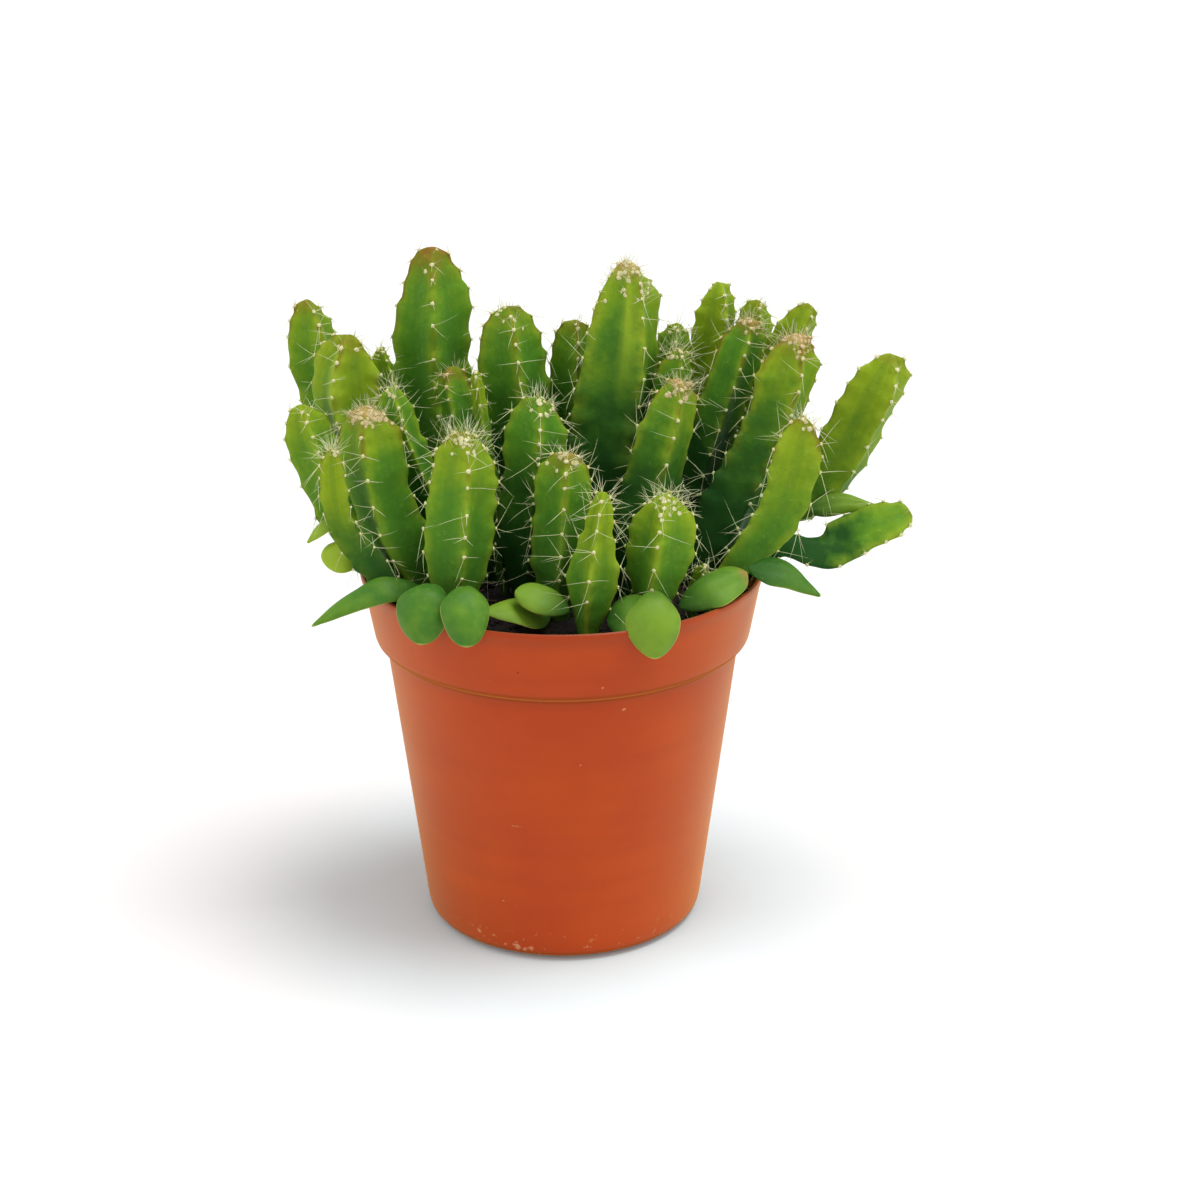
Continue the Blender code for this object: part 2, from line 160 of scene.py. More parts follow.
def skin_material():
    """Waxy stem skin: dark green low down from painted shade, yellow-green above, olive and brown-red at new
    growth, with painted shade in the furrows and a painted highlight along the rib crests.
    """
    g = Graph("stem_skin", "#5b9128")
    rib, crown, rise, lime, blush, deep, stripe, band, felt = map(g.attribute, SKIN_NUMBERS)
    patches = g.noise(8.0, 2.0)
    streaks = g.noise(3.2, 3.0, 0.55)
    mottle = g.noise(1.1, 3.0, 0.6)
    uneven = g.times(g.maths("SUBTRACT", patches, 0.5), 0.6, rise)
    uneven = g.times(g.maths("SUBTRACT", streaks, 0.5), 0.3, uneven)
    g.paint(g.span(g.times(lime, 0.5, uneven), 0.75, 1.35), "#8ca822")
    # Painted highlight along the rib crests.
    crest = g.times(g.span(rib, 0.35, 0.97), g.span(streaks, 0.3, 0.6, 0.3, 1.0))
    g.paint(g.times(crest, stripe), "#a3bb32")
    # Painted shade in the furrows between the ribs.
    g.paint(g.span(rib, 0.25, 0.0, 0.0, 0.22), "#3a7230")
    # Painted shade, darker towards the foot of each stem.
    low = g.times(g.span(uneven, 0.9, 0.3), deep)
    g.paint(low, "#2a5523")
    # Painted highlight: a pale band beside one rib.
    g.paint(band, "#a6c034", 0.85)
    margin = g.times(g.span(rib, 0.6, 0.97), g.span(patches, 0.4, 0.56))
    tint = g.times(margin, g.span(rise, 0.5, 1.0, 0.0, 0.75), crown)
    tint = g.times(g.maths("MINIMUM", tint, 1.0), blush)
    tint = g.times(tint, g.span(streaks, 0.28, 0.66, 0.35, 1.0))
    g.paint(g.span(tint, 0.0, 0.5, 0.0, 0.85), "#7c7621")
    g.paint(g.span(tint, 0.4, 0.95, 0.0, 0.65), "#98562c")
    g.paint(g.times(g.span(felt, 0.1, 0.6), g.span(mottle, 0.4, 0.55, 0.5, 1.0)), "#d4ac7a", 0.7)
    g.paint(g.times(g.span(mottle, 0.55, 0.8, 0.0, 0.3), g.maths("SUBTRACT", 1.0, low)), "#a9bf5c")
    g.paint(g.span(mottle, 0.45, 0.2, 0.0, 0.34), "#2f6a1e")
    g.bump((g.noise(2.2, 3.0), 0.18), (g.noise(0.4, 2.0), 0.03))
    return g.surface(g.span(streaks, 0.2, 0.8, 0.46, 0.6), 0.05, Subsurface_Weight=0.08, **GREEN_GLOW)


def leaf_material():
    """Smooth fleshy seed leaf with a thin pale margin, darker towards its root from painted shade; leaves
    with a negative lime get a darker green of painted shade.
    """
    g = Graph("leaf_skin", "#457a20")
    rim, along, lime, spot = map(g.attribute, LEAF_NUMBERS)
    mottle = g.noise(1.0, 3.0, 0.6)
    g.paint(g.span(g.noise(5.0, 2.0), 0.3, 0.7), "#648f24")
    g.paint(lime, "#a8c434")
    # Painted shade: leaves with a negative lime are darker green.
    g.paint(lime, "#2f6219", -1.0)
    # Painted shade, darker towards the root.
    g.paint(g.span(along, 0.0, 0.7, 0.9, 0.0), "#2a5a1e")
    g.paint(g.span(mottle, 0.5, 0.85, 0.0, 0.3), "#7da63e")
    g.paint(g.span(mottle, 0.42, 0.15, 0.0, 0.3), "#2f6a1e")
    g.paint(g.times(g.span(rim, 0.93, 0.995, 0.0, 0.85), g.span(along, 0.25, 0.6)), "#b3b656")
    g.paint(g.times(spot, g.span(g.noise(1.3, 3.0), 0.35, 0.55)), "#a58248", 0.8)
    g.bump((g.noise(1.6, 3.0), 0.08), (g.noise(0.3, 2.0), 0.02))
    return g.surface(g.span(mottle, 0.2, 0.8, 0.46, 0.6), 0.22, Subsurface_Weight=0.1, **GREEN_GLOW)


def wool_material():
    """Felted cream pad that the spines grow from."""
    g = Graph("areole_wool", "#d8d38e")
    fibres = g.noise(0.16, 4.0, 0.7)
    g.paint(g.span(fibres, 0.25, 0.7), "#f7f4cc")
    g.paint(g.attribute("warm"), "#cf8f5c", 0.7)
    g.bump((fibres, 0.08))
    return g.surface(0.95, 0.15)


def spine_material():
    """Fine spine, straw-coloured at the foot and whitish at the point."""
    g = Graph("spine", "#d6d58c")
    along, warm = map(g.attribute, SPINE_NUMBERS)
    g.paint(g.span(along, 0.0, 0.35), "#e6e9bb")
    g.paint(g.times(warm, g.span(along, 0.2, 0.9, 0.75, 0.1)), "#b4703c")
    g.paint(g.span(g.noise(0.9, 2.0), 0.4, 0.8, 0.0, 0.3), "#c3c98c")
    return g.surface(0.45, 0.4)


# Marks on the wall of the pot: bearing in degrees, height and size.
PALE_MARKS = (
    # a scratch, and specks of lime
    (-108, 33, 0.5), (-107, 33, 0.6), (-106, 33, 0.5), (-105, 33, 0.4), (-84.5, 48, 0.6),
    (-111, 67.5, 0.6), (-79, 66.5, 0.6), (-97, 62.5, 0.6), (-71, 60, 0.7), (-114, 14, 0.6),
    (-108.5, 13.5, 0.5), (-66.5, 6.5, 0.6),
    # soil splashed on the foot
    (-127, 4.5, 1.4), (-124.5, 3.5, 0.9), (-119.5, 4.5, 1.2), (-114.5, 3, 0.9), (-109.5, 3, 2.0),
    (-106.5, 2.5, 1.6), (-103.5, 3, 1.2),
)
# Dirt in the corner under the collar.
DARK_MARKS = (
    (-135.5, 65.5, 0.8), (-67.5, 64.5, 0.7), (-55.5, 64, 1.1), (-102.5, 70, 0.6), (-70, 64, 0.5),
)
COLLAR_ZONE = (40.0, 75.0)  # the collar's ledge is between these heights
# Painted shade darkens the wall towards the lip between these heights.
LIP_SHADE = (74.0, 78.5)  # heights between which the wall darkens towards the lip
FOOT_DUST = 10.0  # height up to which dried soil clings


def polar(radius, angle):
    """Point at a radius and an angle on the level."""
    return radius * math.cos(angle), radius * math.sin(angle)


def wall_radius(profile, height):
    """Radius of the outside of a turned profile at a height."""
    return max(
        r1 + (r2 - r1) * (height - z1) / (z2 - z1)
        for (r1, z1), (r2, z2) in zip(profile, profile[1:])
        if z1 != z2 and min(z1, z2) <= height <= max(z1, z2)
    )


def pot_material(profile):
    """Thin moulded polypropylene, satin, with faint flow bands, scuffs and a little dried soil, and painted
    shade under the collar, towards the lip and on faces that point up or down.
    """
    g = Graph("pot_plastic", "#bb3c05")
    height = g.times(g.upward("Position"), 1 / MM)
    cloud = g.noise(22.0, 3.0)
    g.paint(g.span(cloud, 0.3, 0.7), "#c44508")
    g.paint(g.span(g.noise(9.0, 2.0, 0.5, (0.12, 0.12, 1.6)), 0.4, 0.75, 0.0, 0.3), "#ac3306")
    low = g.span(height, 0.0, FOOT_DUST, 1.0, 0.0)
    g.paint(g.times(g.span(g.noise(1.4, 4.0, 0.65), 0.60, 0.68), low), "#d9b08a", 0.6)
    scratches = g.noise(2.2, 4.0, 0.7, (3.5, 3.5, 0.7), 0.6)
    g.paint(g.span(scratches, 0.73, 0.77), "#dba078", 0.4)
    g.paint(g.span(g.cells(14.0), 0.012, 0.022, 1.0, 0.0), "#e0a074", 0.5)
    ragged = g.noise(0.7, 3.0, 0.6)
    for marks, colour in ((PALE_MARKS, "#e2a77c"), (DARK_MARKS, "#6e2208")):
        for bearing, level, size in marks:
            centre = Vector((*polar(wall_radius(profile, level), math.radians(bearing)), level)) * MM
            away = g.times(ragged, 1.6 * size * MM, g.distance(centre))
            g.paint(g.span(away, 1.25 * size * MM, 0.95 * size * MM), colour, 0.75)
    # Painted shade: a darker line under the collar.
    rises = zip(profile, profile[1:])
    ledge = max(z for (r, z), (r2, _) in rises if r2 - r > 0.4 and COLLAR_ZONE[0] < z < COLLAR_ZONE[1])
    shade_under_collar = g.times(g.span(height, ledge - 4.5, ledge), g.span(height, ledge, ledge + 0.2, 1.0, 0.0))
    g.paint(shade_under_collar, "#8c2a06", 0.4)
    # Painted shade on faces that point up or down.
    g.paint(g.span(g.upward("True Normal"), 0.15, 0.6, 0.0, 0.75), "#842705")
    turned_down = g.span(g.upward("Normal"), -0.15, -0.5)
    g.paint(turned_down, "#842705", 0.6)
    # Painted shade, darker towards the lip.
    g.paint(g.span(height, *LIP_SHADE, 0.0, 0.3), "#8c2a06")
    g.bump((g.noise(14.0, 2.0, 0.4, (0.3, 0.3, 1.0)), 0.25), (g.noise(0.5, 2.0), 0.012))
    roughness = g.maths("MAXIMUM", g.span(cloud, 0.2, 0.8, 0.36, 0.46), turned_down)
    sheen = {"Sheen_Weight": 0.62, "Sheen_Roughness": 0.5, "Sheen_Tint": (1.0, 0.52, 0.1, 1.0)}
    return g.surface(roughness, 0.22, **sheen)


def soil_material():
    """Moist dark peat with crumbs of many browns."""
    g = Graph("peat", "#0e0b09")
    grain = g.noise(0.8, 5.0, 0.7)
    g.paint(g.span(grain, 0.35, 0.75), "#2b211a")
    g.paint(g.span(g.noise(4.0, 4.0), 0.5, 0.8, 0.0, 0.5), "#3a2c20")
    g.paint(g.span(g.cells(1.6), 0.0, 0.16, 1.0, 0.0), "#5b4630", 0.4)
    g.bump((grain, 0.5), (g.noise(0.3, 3.0), 0.15))
    return g.surface(g.span(grain, 0.3, 0.8, 0.75, 1.0), 0.3)


def fibre_material():
    """Brown root fibre."""
    g = Graph("fibre", "#3b2b1d")
    g.paint(g.noise(0.8, 3.0), "#7b6245")
    g.bump((g.noise(0.2, 2.0), 0.05))
    return g.surface(0.85)


# ---------------- meshes and limbs


def placed(name, data):
    """A new object in the scene."""
    made = bpy.data.objects.new(name, data)
    bpy.context.scene.collection.objects.link(made)
    return made


def ball(subdivisions):
    """Points and faces of a round ball of radius 1."""
    mesh = bmesh.new()
    bmesh.ops.create_icosphere(mesh, subdivisions=subdivisions, radius=1.0)
    points = np.array([v.co for v in mesh.verts])
    faces = [tuple(v.index for v in f.verts) for f in mesh.faces]
    mesh.free()
    return points, faces


class Batch:
    """Vertices, faces and numbers carried by each vertex, gathered for one mesh."""

    def __init__(self, *names):
        self.points = []
        self.faces = []
        self.slots = []
        self.numbers = {name: [] for name in names}

    def add(self, points, faces, slot=0, **numbers):
        """Append one closed shape. A number is either one for the shape or one for each vertex."""
        start = len(self.points)
        self.points.extend(tuple(p) for p in points)
        self.faces.extend(tuple(start + v for v in face) for face in faces)
        self.slots.extend([slot] * len(faces))
        for name, values in self.numbers.items():
            value = numbers[name]
            values.extend([value] * len(points) if np.isscalar(value) else value)

    def build(self, name, materials):
        """Make the object, smooth-shaded, riding on the part's one body."""
        mesh = bpy.data.meshes.new(name)
        mesh.from_pydata([tuple(c * MM for c in p) for p in self.points], [], self.faces)
        for material in materials:
            mesh.materials.append(material)
        mesh.polygons.foreach_set("material_index", self.slots)
        for key, values in self.numbers.items():
            layer = mesh.attributes.new(key, "FLOAT", "POINT")
            layer.data.foreach_set("value", values)
        mesh.shade_smooth()
        mesh.update()
        piece = placed(name, mesh)
        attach(piece, "root")
        return piece


def grid_faces(rows, columns, first_pole=False, last_pole=False):
    """Faces of a tube of rings, closed at either end onto a single point."""
    faces = []
    for row in range(rows - 1):
        for column in range(columns):
            a = row * columns + column
            b = row * columns + (column + 1) % columns
            faces.append((a, b, b + columns, a + columns))
    count = rows * columns
    if first_pole:
        faces.extend((count, (c + 1) % columns, c) for c in range(columns))
        count += 1
    if last_pole:
        start = (rows - 1) * columns
        faces.extend((start + c, start + (c + 1) % columns, count) for c in range(columns))
    return faces


def welded(node):
    """Distinct points of a CAD node, in millimetres, with the neighbours of each."""
    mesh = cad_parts[node].data
    places, points, ids = {}, [], []
    for vertex in mesh.vertices:
        key = tuple(round(c / MM * 500) for c in vertex.co)
        if key not in places:
            places[key] = len(points)
            points.append(np.array(vertex.co) / MM)
        ids.append(places[key])
    near = [set() for _ in points]
    for edge in mesh.edges:
        a, b = ids[edge.vertices[0]], ids[edge.vertices[1]]
        if a != b:
            near[a].add(b)
            near[b].add(a)
    return np.array(points), near


def levels_from(pole, near):
    """Points grouped by how many edges lie between them and the pole."""
    seen, levels = {pole}, [[pole]]
    while levels[-1]:
        ring = sorted({b for a in levels[-1] for b in near[a]} - seen)
        seen.update(ring)
        levels.append(ring)
    return levels[:-1]


def unit(vector):
    """Vectors of length 1."""
    return vector / np.maximum(np.linalg.norm(vector, axis=-1, keepdims=True), 1e-9)


def cad_rings(node):
    """The rings a CAD stem or leaf was lofted through, foot first and matched point to point, their centres
    and the tip, and how far along each of these lies."""
    points, near = welded(node)
    for pole in range(len(points)):
        levels = levels_from(pole, near)
        sides = len(levels[1])
        if sides >= 8 and all(len(level) == sides for level in levels[1:]):
            break
    else:
        raise ValueError(f"{node} has no lofted rings")
    tip = points[pole]
    rings = [points[level] for level in reversed(levels[1:])]
    middles = [ring.mean(0) for ring in rings] + [tip]
    matched = []
    for ring, centre, onward in zip(rings, middles, middles[1:]):
        axis = unit(onward - centre)
        across = unit(np.cross(axis, (0.31, 0.93, 0.17)))
        away = ring - centre
        order = np.argsort(np.arctan2(away @ np.cross(axis, across), away @ across))
        ring, away = ring[order], away[order]
        if matched:
            before = matched[-1] - matched[-1].mean(0)
            costs = [((np.roll(away, -turn, 0) - before) ** 2).sum() for turn in range(sides)]
            ring = np.roll(ring, -int(np.argmin(costs)), 0)
        matched.append(ring)
    centres = np.array([ring.mean(0) for ring in matched] + [tip])
    gaps = np.linalg.norm(np.diff(centres, axis=0), axis=1)
    return matched, centres, np.concatenate([[0.0], np.cumsum(gaps)])


def slopes(knots, values):
    """Gradient at each knot, from its two neighbours."""
    knots = np.asarray(knots)[:, None]
    gaps = np.diff(knots, axis=0)
    steps = np.diff(values, axis=0) / gaps
    inner = (steps[:-1] * gaps[1:] + steps[1:] * gaps[:-1]) / (knots[2:] - knots[:-2])
    return np.vstack([steps[:1], inner, steps[-1:]])


def through(knots, values, at):
    """Smooth curve through values at knots, read at other places."""
    knots = np.asarray(knots, float)
    values = np.asarray(values, float).reshape(len(knots), -1)
    gradient = slopes(knots, values)
    span = np.clip(np.searchsorted(knots, at, side="right") - 1, 0, len(knots) - 2)
    width = (knots[span + 1] - knots[span])[:, None]
    t = (at - knots[span])[:, None] / width
    one, two = values[span], values[span + 1]
    return (
        one * (2 * t**3 - 3 * t**2 + 1)
        + gradient[span] * width * (t**3 - 2 * t**2 + t)
        + two * (3 * t**2 - 2 * t**3)
        + gradient[span + 1] * width * (t**3 - t**2)
    )


# ---------------- stems


class Look(NamedTuple):
    """What sets one stem's looks apart."""

    spacing: float = 5.5  # between areoles
    spine: float = 5.0  # longest spines
    crown: int = 8  # spines on the tip
    crown_spine: float = 3.5
    blush: float = 0.3  # red-brown at the tip
    lime: float = 0.35  # yellow-green
    warm: float = 0.1  # red-brown wool and spines at the tip
    # Painted shade: how far the skin darkens towards the foot.
    deep: float = 0.7  # darkening towards the foot
    # Painted highlight: how pale the rib crests are.
    stripe: float = 0.62  # paleness of the rib crests
    wool: float = 0.5  # share of the tip's spines that have a pad


# Looks by stem number. The guessed stems at the back have none of their own.
LOOKS = {
    1: (7.0, 4.5, 8, 2.5, 1.05, 0.1, 0.15, 0.2, 0.55),
    2: (6.6, 4.5, 3, 2.0, 0.7, 0.35, 0.1, 0.3),
    3: (5.6, 5.5, 26, 4.0, 0.5, 0.0, 0.1, 1.0),
    4: (5.5, 5.5, 4, 3.0, 0.6, 0.05, 0.1, 0.9),
    5: (6.0, 5.5, 70, 4.0, 0.45, 0.35, 0.2, 1.0, 0.8, 1.0),
    6: (5.0, 5.5, 14, 5.0, 0.3, 0.15, 0.05, 1.0),
    7: (5.5, 3.5, 3, 3.0, 0.2, 1.8, 0.0, -0.5),
    8: (4.5, 4.0, 8, 4.0, 0.4, 0.7, 0.2, 0.5),
    9: (5.0, 3.0, 4, 3.0, 0.4, 0.95, 0.1, 0.2),
    12: (5.5, 5.5, 14, 3.0, 0.6, 0.75, 0.1, 0.3, 0.9),
    13: (4.0, 4.0, 8, 4.0, 0.3, 0.4, 0.1, 0.7),
    14: (4.5, 5.5, 24, 5.0, 0.2, 0.1, 0.1, 1.0),
    15: (4.5, 4.0, 10, 3.0, 0.9, 0.0, 0.5, 1.0),
    16: (6.0, 3.0, 3, 2.0, 0.5, 0.6, 0.1, 0.8),
    17: (5.5, 5.0, 5, 3.0, 0.25, 0.5, 0.1, 0.3),
    18: (5.0, 5.0, 34, 4.0, 0.9, -0.5, 0.5, 1.2, 0.6, 0.8),
    19: (4.5, 6.0, 32, 5.5, 0.5, 0.1, 0.15, 1.0),
    20: (5.0, 5.0, 50, 4.0, 0.9, 0.5, 0.6, 1.0, 0.9, 0.9),
    21: (6.5, 2.5, 3, 2.0, 0.4, 0.9, 0.05, 0.5),
    22: (5.5, 6.0, 54, 3.5, 0.8, 0.3, 0.5, 1.0, 0.9, 0.8),
    23: (5.5, 7.0, 40, 4.0, 0.6, 0.75, 0.25, 0.2),
    24: (6.0, 3.5, 4, 2.0, 0.3, 0.2, 0.05, 1.7),
    25: (4.0, 5.0, 34, 4.5, 0.35, 0.9, 0.1, 0.9),
    26: (6.2, 5.5, 84, 3.2, 0.8, 0.4, 0.5, 0.4, 0.6, 1.0),
    27: (5.0, 6.0, 76, 5.0, 0.55, 0.6, 0.08, 0.2, 0.6, 0.4),
    28: (5.5, 6.5, 38, 4.0, 0.4, -0.9, 0.05, 1.0, 0.4),
    29: (5.0, 5.5, 40, 3.5, 0.7, 0.25, 0.2, 0.6, 0.6, 0.7),
    30: (5.0, 6.5, 18, 4.5, 0.2, 1.0, 0.1, 0.1),
    31: (4.6, 6.5, 50, 5.0, 0.2, 0.65, 0.1, -0.1),
    32: (3.0, 3.5, 6, 3.0, 0.1, 0.7, 0.0, 0.2),
}

RIGHT = (1.0, 0.0, 0.0)
LOBE = (1.1, 4.0)  # how far a lobe spreads up and down the stem
# Bulges and hollows of single ribs: the side that the rib is on, how far below the tip, how far it
# stands out, and how far that spreads up and down the stem.
FORMS = {
    1: ((RIGHT, 8.5, 0.9, *LOBE), (RIGHT, 19.0, -0.8, 6.0, 11.0)),
    2: (((1.0, -0.3, 0.0), 7.0, 1.0, *LOBE),),
    3: ((RIGHT, 9.0, -0.5, 5.0, 7.0),),
    5: (((1.0, 0.3, 0.0), 7.0, 2.0, *LOBE),),
    9: ((RIGHT, 19.0, -1.3, 7.0, 14.0),),
    12: ((RIGHT, 5.0, 0.9, *LOBE),),
    20: ((RIGHT, 5.5, 1.2, *LOBE),),
    21: (((0.9, 0.4, 0.0), 4.0, 0.9, *LOBE),),
    23: (((1.0, 0.0, -0.3), 35.0, -2.6, 9.0, 12.0),),
    24: (((-0.2, 0.0, 1.0), 22.0, -3.2, 2.6, 12.0),),
    26: ((RIGHT, 3.5, 0.9, *LOBE),),
    31: ((RIGHT, 3.5, 0.8, *LOBE),),
}

# How far below the tip the front, right, back and left ribs end, as shares of the stem's width.
LOBE_DROPS = {
    1: (0.11, 0.07, 0.1, 0.0),
    2: (0.06, 0.12, 0.05, 0.0),
    3: (0.04, 0.0, 0.1, 0.05),
    5: (0.03, 0.1, 0.08, 0.0),
    12: (0.05, 0.12, 0.1, 0.0),
    17: (0.04, 0.1, 0.05, 0.0),
    20: (0.08, 0.0, 0.08, 0.1),
    21: (0.04, 0.0, 0.1, 0.08),
    26: (0.0, 0.1, 0.08, 0.04),
}

# A painted highlight, a pale band beside a rib: the side that the rib is on, how far before it the band
# lies, and its width, both as shares of the way from rib to rib.
PAINTED_HIGHLIGHT_BANDS = {
    5: ((0.5, -0.87, 0.0), 0.27, 0.13),
    12: ((-0.2, -1.0, 0.0), 0.0, 0.14),
}
BAND_FADE = ((0.56, 0.84, 0.95, 1.0), (0.0, 1.0, 1.0, 0.4))  # shares of the length, and the strength there

POINTS_PER_RIB = 3  # of the CAD sections
DOME_RINGS = 3
TIP_POWER = 1.9  # of the fine dome, which is a little blunter than the CAD one
SIDE_STEPS = 14  # points from one rib to the next
SKIN_START, STATION_STEP = -3.0, 0.7  # where the fine rings start, in the soil, and how far apart they are
VALLEY = {3: 0.46, 4: 0.64, 5: 0.74}  # furrow radius by number of ribs, as a share of the ribs'
CREST_REACH = 0.42  # how far a rib's bulges spread round the stem, as a share of the way to the next rib
TABLE_START, TABLE_STEP = -4.0, 0.2  # of the relief along the stem
SECTION_STEPS = 240  # from one rib to the next
SPINE_THICKNESS = (0.045, 0.07)
SPINE_HEADINGS = (0.0, 0.15, 3.0, 3.3, -0.9, -2.2, -1.5, 1.1, 2.1, 1.6)  # sideways, then down, then up


class Areole(NamedTuple):
    """A wool pad on a rib."""

    rib: int
    at: float
    from_tip: float
    size: float  # of the tubercle under it


def section(ribs):
    """Radius from one rib to the next, as a share of the rib radius, with nearly flat sides."""
    half = math.pi / ribs
    shares = np.arange(SECTION_STEPS) / SECTION_STEPS
    angle = (shares - np.round(shares)) * 2 * half
    flat = math.cos(half) / np.cos(half - np.abs(angle))
    closeness = (flat - math.cos(half)) / (1 - math.cos(half))
    radius = VALLEY[ribs] + (1 - VALLEY[ribs]) * closeness
    # Blurred a little, so that the crests and furrows are rounded.
    kernel = np.exp(-((np.arange(-40, 41) / 10.0) ** 2))
    radius = np.convolve(np.tile(radius, 3), kernel / kernel.sum(), "same")
    radius = radius[SECTION_STEPS : 2 * SECTION_STEPS]
    return np.append(radius, radius[0]) / radius.max()


class Stem:
    """A stem's smooth centre line and ribs, recovered from its CAD rings, with its areoles and relief."""

    def __init__(self, node, rng):
        rings, centres, knots = cad_rings(node)
        knots = knots - knots[1]  # from the second ring, at the top of the soil
        self.node = node
        self.number = int(node[-2:])
        self.look = Look(*LOOKS.get(self.number, ()))
        self.ribs = len(rings[0]) // POINTS_PER_RIB
        self.knots, self.centres = knots, centres
        self.tip_way = unit(centres[-1] - centres[-2])
        away = [ring - centre for ring, centre in zip(rings, centres)]
        radii = np.array([np.linalg.norm(ring, axis=1) for ring in away])
        body = radii[3 : len(radii) - DOME_RINGS]
        means = [body[:, shift::POINTS_PER_RIB].mean() for shift in range(POINTS_PER_RIB)]
        phase = int(np.argmax(means))
        self.rib_radius = radii[:, phase::POINTS_PER_RIB].mean(1)
        self.first_rib = unit(np.array([ring[phase] for ring in away]))
        self.length = knots[-1]
        self.shoulder = knots[-2 - DOME_RINGS]
        self.shoulder_radius = self.rib_radius[-1 - DOME_RINGS]
        self.width = 2 * self.rib_radius.max()
        self.swell = knots[3]  # the foot widens up to here
        self.profile = section(self.ribs)
        self.areoles = self.find_areoles(rng)
        self.drops = np.array([rng.uniform(0.0, 0.13) for _ in range(self.ribs)]) * self.width
        self.drops -= self.drops.min()
        if self.number in LOBE_DROPS:
            self.drops = self.width * np.array(LOBE_DROPS[self.number])[self.rib_sides()]
        self.seed = Vector([rng.uniform(0, 90) for _ in range(3)])
        self.table = self.relief_table(rng)

    def rib_ways(self):
        """Directions in which the ribs point, two thirds of the way up."""
        _, _, first, across = (row[0] for row in self.frames(np.array([self.length * 0.66])))
        turns = math.tau * np.arange(self.ribs) / self.ribs
        return first * np.cos(turns)[:, None] + across * np.sin(turns)[:, None]

    def rib_towards(self, side):
        """The rib that points most to a side."""
        return int(np.argmax(self.rib_ways() @ np.array(side)))

    def rib_sides(self):
        """Which of front, right, back and left each rib points to most."""
        sides = np.array([(0.0, -1.0), (1.0, 0.0), (0.0, 1.0), (-1.0, 0.0)])
        return np.argmax(self.rib_ways()[:, :2] @ sides.T, axis=1)

    def find_areoles(self, rng):
        """Areoles down each rib: crowded at the tip and wider apart below, staggered from rib to rib."""
        found = []
        spacing = self.look.spacing
        for rib in range(self.ribs):
            stagger = (rib % 2) * 0.5 + rng.uniform(-0.15, 0.15)
            from_tip = spacing * (0.2 + 0.26 * stagger)
            step = spacing * 0.45
            while self.length - from_tip > max(3.0, self.swell * 0.4):
                found.append(Areole(rib, self.length - from_tip, from_tip, rng.uniform(0.4, 1.7)))
                from_tip += step * rng.uniform(0.8, 1.2)
                step = min(spacing, step * 1.3)
        return found

    def relief_table(self, rng):
        """How far each crest stands out along the stem, steep above each areole and sloping below it."""
        at = np.arange(TABLE_START, self.length + TABLE_STEP, TABLE_STEP)
        table = np.zeros((len(at), self.ribs))
        depth = 0.021 * self.width + 0.33
        for areole in self.areoles:
            spacing = min(self.look.spacing, areole.from_tip * 0.5 + 1.6)
            away = at - areole.at
            below = np.exp(-((away / (0.46 * spacing)) ** 2))
            above = np.exp(-((away / (0.15 * spacing + 0.3)) ** 2))
            height = depth * areole.size * min(1.0, 0.7 + areole.from_tip / 12.0)
            table[:, areole.rib] += np.where(away > 0, above, below) * height
        slow = [rng.uniform(0, 9) for _ in range(self.ribs)]
        for rib in range(self.ribs):
            wave = np.sin(at / 7.5 + slow[rib]) + 0.6 * np.sin(at / 3.4 + 2 * slow[rib])
            table[:, rib] += 0.018 * self.width * wave
        for side, from_tip, height, above, below in FORMS.get(self.number, ()):
            away = at - (self.length - from_tip)
            spread = np.where(away > 0, above, below)
            table[:, self.rib_towards(side)] += height * np.exp(-((away / spread) ** 2))
        return table - 0.35 * depth

    def radius(self, at):
        """Rib radius at distances along the stem."""
        count = len(self.rib_radius) - DOME_RINGS
        held = np.clip(at, self.knots[0], self.shoulder)
        body = through(self.knots[:count], self.rib_radius[:count], held)[:, 0]
        dome = self.shoulder_radius * (1 - self.dome_share(at) ** TIP_POWER) ** (1 / TIP_POWER)
        return np.where(at > self.shoulder, dome, body)

    def dome_share(self, at):
        """How far up the dome each distance is, from 0 at its shoulder to 1 at the tip."""
        return np.clip((at - self.shoulder) / (self.length - self.shoulder), 0, 1)

    def frames(self, at):
        """Centre, direction, and two directions across the stem, the first towards rib 0."""
        centre = through(self.knots, self.centres, at)
        step = 0.05
        ahead = through(self.knots, self.centres, np.clip(at + step, None, self.length))
        behind = through(self.knots, self.centres, np.clip(at - step, self.knots[0], None))
        along = unit(ahead - behind)
        rib = through(self.knots[:-1], self.first_rib, np.clip(at, self.knots[0], self.knots[-2]))
        rib = unit(rib - along * (rib * along).sum(1, keepdims=True))
        return centre, along, rib, np.cross(along, rib)

    def surface(self, at, turns):
        """Points of the skin, by distance up the stem and angle round it, and how near each is to a rib."""
        centre, along, rib, side = self.frames(at)
        radius = self.radius(at)
        ribbing = np.interp(at, [0.0, self.knots[2], self.swell], [0.0, 0.6, 1.0])
        share = np.mod(turns / math.tau, 1.0) * self.ribs
        left = np.floor(share).astype(int) % self.ribs
        ribs = np.array([left, (left + 1) % self.ribs])
        between = share - np.floor(share)
        near = np.clip(1 - np.array([between, 1 - between]) / CREST_REACH, 0, 1) ** 1.4
        row = np.clip(np.round((at - TABLE_START) / TABLE_STEP).astype(int), 0, len(self.table) - 1)
        bulge = (self.table[row, ribs] * near).sum(0)
        shape = np.interp(between * SECTION_STEPS, np.arange(SECTION_STEPS + 1), self.profile)
        factor = 1 - ribbing * (1 - shape)
        reach = radius * factor + bulge * np.minimum(1, radius / (0.22 * self.width)) * ribbing
